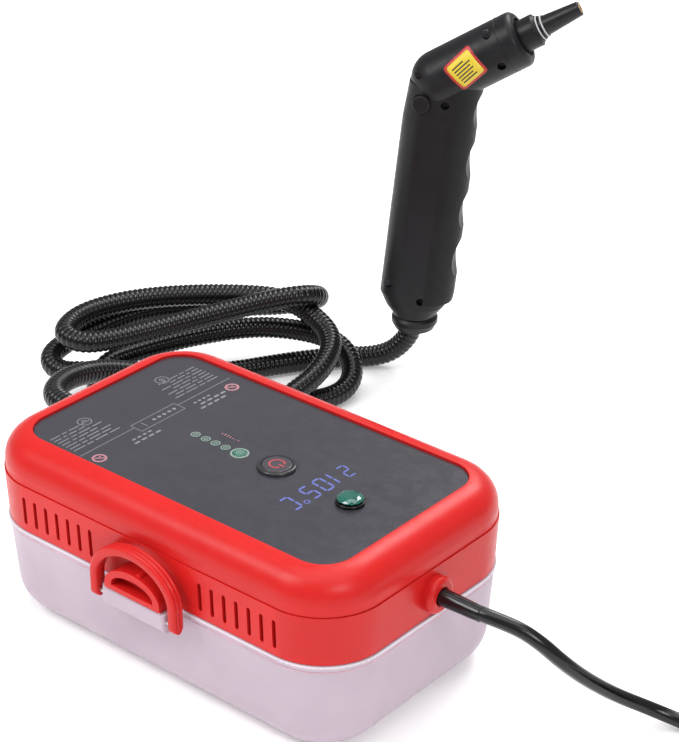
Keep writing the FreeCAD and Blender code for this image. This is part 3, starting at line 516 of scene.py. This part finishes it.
class Print:
    """Thin printed shapes on the panel, gathered into one mesh. Up is +X, and reading runs towards -Y."""

    def __init__(self):
        self.bm = bmesh.new()

    def outline(self, points, z=PANEL_Z, height=PRINT_H):
        low = [self.bm.verts.new((x * MM, y * MM, z * MM)) for x, y in points]
        high = [self.bm.verts.new((x * MM, y * MM, (z + height) * MM)) for x, y in points]
        self.bm.faces.new(low[::-1])
        self.bm.faces.new(high)
        for i in range(len(points)):
            j = (i + 1) % len(points)
            self.bm.faces.new((low[i], low[j], high[j], high[i]))

    def bar(self, x0, y0, x1, y1, width, z=PANEL_Z, height=PRINT_H):
        """Stroke from one point to another with pointed ends."""
        dx, dy = x1 - x0, y1 - y0
        length = math.hypot(dx, dy)
        ux, uy = dx / length, dy / length
        h = width / 2
        pts = [(x0, y0), (x0 + ux * h + uy * h, y0 + uy * h - ux * h),
               (x1 - ux * h + uy * h, y1 - uy * h - ux * h), (x1, y1),
               (x1 - ux * h - uy * h, y1 - uy * h + ux * h), (x0 + ux * h - uy * h, y0 + uy * h + ux * h)]
        self.outline(pts, z, height)

    def arc(self, x, y, radius, width, start=0, end=360, z=PANEL_Z, height=PRINT_H, steps=40):
        """Ring or part of one, angles in degrees from +X."""
        for i in range(steps):
            a, b = [math.radians(start + (end - start) * k / steps) for k in (i, i + 1)]
            inner, outer = radius - width / 2, radius + width / 2
            corners = ((inner, a), (outer, a), (outer, b), (inner, b))
            self.outline([(x + r * math.cos(t), y + r * math.sin(t)) for r, t in corners], z, height)

    def disc(self, x, y, radius, z=PANEL_Z, height=PRINT_H, steps=32):
        turn = [2 * math.pi * k / steps for k in range(steps)]
        self.outline([(x + radius * math.cos(a), y + radius * math.sin(a)) for a in turn], z, height)

    def done(self, name, finish, body="head"):
        obj = from_bmesh(name, self.bm, smooth=False)
        give(obj, finish)
        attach(obj, body)


SEGMENTS = {"0": "abcdef", "1": "bc", "2": "abged", "5": "afgcd", "C": "afed"}


def digit(sheet, glyph, centre_y, low=51.6, high=65.0, width=8.0, stroke=1.45, lean=1.4):
    """Seven-segment figure: its top points to +X and it reads towards -Y."""
    gap = 0.35                                                       # left open at each end of a stroke

    def at(u, v):
        """u from -1, left, to 1, right; v from 0, foot, to 1, top."""
        x = low + (high - low) * v
        return x, centre_y - u * (width / 2 - stroke / 2) - lean * (v - 0.5)

    ends = {"a": ((-1, 1), (1, 1)), "b": ((1, 1), (1, 0.5)), "c": ((1, 0.5), (1, 0)), "d": ((-1, 0), (1, 0)),
            "e": ((-1, 0.5), (-1, 0)), "f": ((-1, 1), (-1, 0.5)), "g": ((-1, 0.5), (1, 0.5))}
    for name in SEGMENTS[glyph]:
        (x0, y0), (x1, y1) = at(*ends[name][0]), at(*ends[name][1])
        long = math.hypot(x1 - x0, y1 - y0)
        kx, ky = (x1 - x0) / long * gap, (y1 - y0) / long * gap
        sheet.bar(x0 + kx, y0 + ky, x1 - kx, y1 - ky, stroke)


def panel_graphics():
    """Figures of the display, and plain marks where the panel is printed."""
    screen = Print()
    for glyph, centre_y in (("1", 13.6), ("0", 1.5), ("5", -10.2), ("C", -27.0)):
        digit(screen, glyph, centre_y)
    digit(screen, "2", 22.0, 52.6, 64.4, 7.2, 1.2)
    screen.arc(64.0, -19.4, 1.7, 0.7)
    screen.done("display_figures", "digit")

    text = Print()
    text.bar(-72.6, -68, -72.6, -22, 0.5)
    text.bar(-72.6, 16, -72.6, 63.5, 0.5)
    for x in (-75.9, -66.1):
        text.bar(x, -22, x, 16, 0.5)
    for y in (-22, 16):
        text.bar(-75.9, y, -66.1, y, 0.5)
    for x, y in ((-101.3, -36.3), (-103.0, 33.4)):
        text.arc(x, y, 4.4, 0.6)
        text.arc(x, y, 1.6, 0.5)
        text.bar(x - 2.6, y, x + 2.6, y, 0.5)
    for block_y, side in ((-66, 1), (60, -1)):
        for row, length in enumerate((40, 36, 39, 31, 38, 27, 34)):
            x, y = -79.8 - 3.4 * row, block_y
            for word in (0.28, 0.17, 0.3, 0.25):
                run = length * word
                text.bar(x, y, x, y + side * (run - 1.3), 0.8)
                y += side * run
    dashes = 4
    for x, y0, y1 in ((-58.5, -36, -12), (-62.6, -34, -16), (-58.5, 22, 46), (-62.6, 26, 50), (-66.6, 24, 40)):
        for k in range(dashes):
            a = y0 + (y1 - y0) * k / dashes
            text.bar(x, a, x, a + (y1 - y0) / dashes - 1.2, 1.6)
    text.bar(-74, -15, -68, -15, 0.6)
    for k in range(5):
        y = -8 + 4.4 * k
        text.bar(-71, y, -71, y + 3.2, 2.6)
    text.done("panel_marks", "print")

    icons = Print()
    for x, y in ((-62.4, -61.7), (-63.0, 55.3)):
        icons.arc(x, y, 4.0, 1.2)
        icons.bar(x - 2.8, y - 2.8, x + 2.8, y + 2.8, 0.9)
        icons.bar(x - 1.6, y + 1.8, x + 1.2, y - 0.6, 0.9)
    for k in range(7):
        icons.bar(-27 + 2.2 * k, 6.6, -27 + 2.2 * k, 8.4 + 0.8 * math.sin(k), 0.6)
    icons.done("panel_icons", "print_pink")

    dots = Print()
    dots.disc(105.7, 59.1, 0.9)
    dots.done("panel_sensor", "ink")


def middle_and_top(node):
    """Middle of a CAD node in plan and its top, in millimetres."""
    low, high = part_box(node)
    return (low.x + high.x) / 2 / MM, (low.y + high.y) / 2 / MM, high.z / MM


JEWEL_FACETS = 12
JEWEL_TIERS = [(6.0, -3.4), (8.2, -2.2), (8.1, -1.6), (6.9, -0.7), (4.9, -0.05)]   # radius, height from the top


def control_detail():
    """Power symbol, the mode key's symbol, rings of the level lights and the faceted lamp."""
    x, y, top = middle_and_top("power_button")
    sign = Print()
    sign.arc(x, y, 4.6, 1.1, start=32, end=328, z=top, height=0.06)
    sign.bar(x + 1.2, y, x + 5.9, y, 1.1, z=top, height=0.06)
    sign.done("power_symbol", "power_red", "power_button")

    x, y, top = middle_and_top("mode_button")
    sign = Print()
    sign.arc(x, y, 2.2, 0.5, z=top, height=0.05)
    sign.arc(x, y, 0.9, 0.5, z=top, height=0.05)
    sign.done("mode_symbol", "ring", "mode_button")

    rings = Print()
    for number in range(1, 5):
        x, y, top = middle_and_top("level_led_%d" % number)
        rings.arc(x, y, 2.7, 0.6, z=top, height=0.06)
        rings.arc(x, y, 1.1, 0.5, z=top, height=0.06)
    rings.done("level_rings", "ring")

    low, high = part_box("lamp_lens")
    x, y, top = (low.x + high.x) / 2, (low.y + high.y) / 2, high.z
    bm, rings = bmesh.new(), []
    for tier, (radius, drop) in enumerate(JEWEL_TIERS):
        turn = [math.pi * (2 * k + tier % 2) / JEWEL_FACETS for k in range(JEWEL_FACETS)]
        rings.append([bm.verts.new((x + radius * MM * math.cos(a), y + radius * MM * math.sin(a),
                                    top + drop * MM)) for a in turn])
    for tier, (a, b) in enumerate(zip(rings, rings[1:])):
        for k in range(JEWEL_FACETS):
            n = (k + 1) % JEWEL_FACETS
            if tier % 2 == 0:
                bm.faces.new((a[k], a[n], b[k]))
                bm.faces.new((a[n], b[n], b[k]))
            else:
                bm.faces.new((a[k], a[n], b[n]))
                bm.faces.new((a[k], b[n], b[k]))
    bm.faces.new(rings[-1])
    bm.faces.new(rings[0][::-1])
    lens = from_bmesh("lamp_jewel", bm, smooth=False)
    give(lens, "lamp")
    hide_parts("lamp_lens")
    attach(lens, "head")


# ---------------------------------------------------------------- latches

LATCH_HALF, LATCH_SPRING, LATCH_TOP, LATCH_PIVOT_Z, LATCH_MID_Y = 34.6, 72.0, 99.6, 60.6, 97.0
LATCH_FOOT_DROP, LATCH_FOOT_LEAST = 4.2, 0.06                        # rounded foot below the pivot; share of depth
FOOT_STEPS, LEG_STEPS, ARCH_STEPS = 9, 4, 24
LATCH_SECTION = [(-5.9, -3.2), (-5.6, -3.7), (-4.9, -4.0), (-1.7, -4.0), (-0.7, -3.7), (-0.1, -3.0),
                 (0, -2.4), (-0.6, -1.9), (-0.7, -1.3), (0, -0.7), (0.1, 0), (0, 0.6), (-0.6, 1.1),
                 (-0.7, 1.7), (0, 2.3), (-0.1, 3.1), (-0.8, 3.8), (-1.6, 4.0), (-5.0, 4.0),
                 (-5.8, 3.4)]                                        # outward, and back from the middle


def latch_bow(node, side):
    """Bail of a latch: a flat ring in front and three ribs round its outside. side is -1 at the front."""
    stations = []
    for k in range(FOOT_STEPS):
        turn = math.pi / 2 * (1 - k / FOOT_STEPS)
        stations.append((LATCH_HALF, LATCH_PIVOT_Z - LATCH_FOOT_DROP * math.sin(turn), 1, 0,
                         max(math.cos(turn), LATCH_FOOT_LEAST)))
    for k in range(LEG_STEPS):
        stations.append((LATCH_HALF, LATCH_PIVOT_Z + (LATCH_SPRING - LATCH_PIVOT_Z) * k / LEG_STEPS, 1, 0, 1))
    rise = LATCH_TOP - LATCH_SPRING
    arch = [(LATCH_HALF * math.cos(a), LATCH_SPRING + rise * math.sin(a),
             math.cos(a) / LATCH_HALF, math.sin(a) / rise, 1)
            for a in (math.pi / 2 * k / ARCH_STEPS for k in range(ARCH_STEPS + 1))]
    right = stations + arch
    left = [(-x, z, -nx, nz, deep) for x, z, nx, nz, deep in right[-2::-1]]
    bm, rings = bmesh.new(), []
    for x, z, nx, nz, deep in right + left:
        size = math.hypot(nx, nz)
        rings.append([bm.verts.new(((x + out * nx / size) * MM, side * (LATCH_MID_Y - back * deep) * MM,
                                    (z + out * nz / size) * MM)) for out, back in LATCH_SECTION])
    for a, b in zip(rings, rings[1:]):
        for j in range(len(a)):
            n = (j + 1) % len(a)
            bm.faces.new((a[j], a[n], b[n], b[j]))
    bm.faces.new(rings[0][::-1])
    bm.faces.new(rings[-1])
    bow = give(from_bmesh(node + "_bow", bm), "red")
    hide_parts(node)
    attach(bow, node)


# ---------------------------------------------------------------- label on the steam gun

GUN_AT, GUN_TURN = (-134.0, 330.5), math.radians(30)
BARREL_AT, BARREL_TILT, BARREL_R = (65.0, 263.1), math.radians(31), 20.5
LABEL_AT, LABEL_TILT, LABEL_HALF, LABEL_BORDER = (-33.2, 2.4), math.radians(45.7), (12.0, 11.0), 0.85
LABEL_SQUARENESS = 2 / 11                                            # power of the superellipse
BAR_START, BAR_HALF, BAR_STEPS = -7.4, 0.45, 6
BARREL_RINGS = ((-3.7, 20.42, 0.32), (3.9, 20.0, 0.34), (8.4, 15.6, 0.34))   # along, radius, its own radius
RING_STEPS, RING_SIDES = 96, 8


def on_label(u, v, lift):
    """Point on the barrel's skin at a place of the label, lifted off the skin, in metres."""
    x = u * math.cos(LABEL_TILT) - v * math.sin(LABEL_TILT)
    z = u * math.sin(LABEL_TILT) + v * math.cos(LABEL_TILT)
    along = LABEL_AT[0] + x * math.cos(BARREL_TILT) + z * math.sin(BARREL_TILT)
    up = LABEL_AT[1] - x * math.sin(BARREL_TILT) + z * math.cos(BARREL_TILT)
    radius = BARREL_R + lift
    out = -math.sqrt(radius ** 2 - up ** 2)
    gun_x = BARREL_AT[0] + along * math.cos(BARREL_TILT) - up * math.sin(BARREL_TILT)
    gun_z = BARREL_AT[1] + along * math.sin(BARREL_TILT) + up * math.cos(BARREL_TILT)
    return Vector((GUN_AT[0] + gun_x * math.cos(GUN_TURN) - out * math.sin(GUN_TURN),
                   GUN_AT[1] + gun_x * math.sin(GUN_TURN) + out * math.cos(GUN_TURN), gun_z)) * MM


def label_shape(bm, rings, lift, foot=0.08):
    """Closed sheet between rings of label places, the first ring outermost; the last may be one point."""
    tops = [[bm.verts.new(on_label(u, v, lift)) for u, v in ring] for ring in rings]
    foot_ring = [bm.verts.new(on_label(u, v, foot)) for u, v in rings[0]]
    for a, b in zip([foot_ring] + tops, tops):
        for j in range(len(a)):
            n = (j + 1) % len(a)
            if len(b) == 1:
                bm.faces.new((a[j], a[n], b[0]))
            else:
                bm.faces.new((a[j], a[n], b[n], b[j]))


def barrel_rings():
    """Fine raised rings round the front of the barrel."""
    bm = bmesh.new()
    turn, tilt = Matrix.Rotation(GUN_TURN, 4, "Z"), Matrix.Rotation(math.pi / 2 - BARREL_TILT, 4, "Y")
    for along, radius, fine in BARREL_RINGS:
        middle = Vector((BARREL_AT[0] + along * math.cos(BARREL_TILT), 0,
                         BARREL_AT[1] + along * math.sin(BARREL_TILT)))
        rings = []
        for k in range(RING_STEPS):
            a = 2 * math.pi * k / RING_STEPS
            loop = []
            for j in range(RING_SIDES):
                b = 2 * math.pi * j / RING_SIDES
                reach = radius + fine * math.cos(b)
                local = tilt @ Vector((reach * math.cos(a), reach * math.sin(a), fine * math.sin(b)))
                place = turn @ (middle + local) + Vector((*GUN_AT, 0))
                loop.append(bm.verts.new(place * MM))
            rings.append(loop)
        for a, b in zip(rings, rings[1:] + rings[:1]):
            for j in range(RING_SIDES):
                n = (j + 1) % RING_SIDES
                bm.faces.new((a[j], a[n], b[n], b[j]))
    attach(give(from_bmesh("barrel_rings", bm), "gun"), "tank")


def gun_label():
    """Plain label on the barrel: a red edge, a yellow face and generic bars."""

    def outline(scale, count=64):
        ring = []
        for k in range(count):
            c, s = math.cos(2 * math.pi * k / count), math.sin(2 * math.pi * k / count)
            ring.append((scale * LABEL_HALF[0] * math.copysign(abs(c) ** LABEL_SQUARENESS, c),
                         scale * LABEL_HALF[1] * math.copysign(abs(s) ** LABEL_SQUARENESS, s)))
        return ring

    bm = bmesh.new()
    label_shape(bm, [outline(t) for t in (1.0, 0.93, LABEL_BORDER, 0.7, 0.4)] + [[(0, 0)]], 0.30)
    edge = give(from_bmesh("label_edge", bm), "label_red")
    bm = bmesh.new()
    label_shape(bm, [outline(t) for t in (LABEL_BORDER, 0.64, 0.42, 0.2)] + [[(0, 0)]], 0.42, 0.25)
    face = give(from_bmesh("label_face", bm), "yellow")
    bm = bmesh.new()
    for v, end in ((5.6, 2.6), (3.2, 6.8), (0.8, 5.2), (-1.6, 6.2), (-4.0, 3.8), (-6.4, 5.4)):
        us = [BAR_START + (end - BAR_START) * k / BAR_STEPS for k in range(BAR_STEPS + 1)]
        low = [(u, v - BAR_HALF) for u in us]
        high = [(u, v + BAR_HALF) for u in us[::-1]]
        middle = [(u, v) for u, _ in low + high]
        label_shape(bm, [low + high, middle], 0.52, 0.35)
    bars = give(from_bmesh("label_bars", bm), "ink")
    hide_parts("gun_label")
    barrel_rings()
    for piece in (edge, face, bars):
        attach(piece, "tank")


# ---------------------------------------------------------------- lines seen on the tank

TANK_FOOT, TANK_MOUTH, TANK_TOP_Z = (137.4, 83.1, 37.0), (141.2, 88.4, 40.8), 66.7   # half sides, corner radius
# The rim line is a painted highlight along the rim bead. The seal line is the seal seen through the wall.
TANK_LINES = (("tank_rim_highlight_line", "rim", 63.5, 66.4, 0.82), ("tank_seal_line", "seal_line", 61.2, 62.5, 0.12))
LINE_EDGE, LINE_SINK = 0.2, 0.4
CORNER_STEPS = 16


def tank_lines():
    """Painted highlight along the rim bead of the tank, and the seal that shows through its wall."""
    for name, finish, z0, z1, lift in TANK_LINES:
        bm, rings = bmesh.new(), []
        low = lift - LINE_SINK
        for z, out in ((z0, low), (z0 + LINE_EDGE, lift), (z1 - LINE_EDGE, lift), (z1, low)):
            hx, hy, r = [a + (b - a) * z / TANK_TOP_Z for a, b in zip(TANK_FOOT, TANK_MOUTH)]
            ring = []
            for quarter in range(4):
                cx, cy = (hx - r) * (1, -1, -1, 1)[quarter], (hy - r) * (1, 1, -1, -1)[quarter]
                for k in range(CORNER_STEPS + 1):
                    a = math.pi / 2 * (quarter + k / CORNER_STEPS)
                    ring.append(bm.verts.new(((cx + (r + out) * math.cos(a)) * MM,
                                              (cy + (r + out) * math.sin(a)) * MM, z * MM)))
            rings.append(ring)
        for a, b in zip(rings, rings[1:] + rings[:1]):
            for j in range(len(a)):
                n = (j + 1) % len(a)
                bm.faces.new((a[j], a[n], b[n], b[j]))
        line = give(from_bmesh(name, bm), finish)
        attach(line, "tank")


RELIEF_X, RELIEF_RADIUS, RELIEF_TAPER = 148.0, 5.4, 0.8
RELIEF_PLACES, RELIEF_STEP = 72, 0.0004


def strain_relief():
    """Tapered rubber relief on the mains lead."""
    start = Vector((RELIEF_X, 0, CORD_EXIT[2])) * MM
    places = [start + Vector((RELIEF_STEP * i, 0, 0)) for i in range(RELIEF_PLACES)]

    def taper(i, angle):
        return (RELIEF_RADIUS - RELIEF_TAPER * i / (RELIEF_PLACES - 1)) * MM

    relief = sweep("cord_relief", places, taper, 32)
    give(relief, "cord")
    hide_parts("cord_sleeve")
    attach(relief, "head")


make_camera()
CORD, HOSE = make_leads()
give(CORD, "cord")
give(HOSE, "hose")
finish_nodes()
panel_graphics()
control_detail()
strain_relief()
latch_bow("latch_front", -1)
latch_bow("latch_back", 1)
gun_label()
tank_lines()
make_stage()
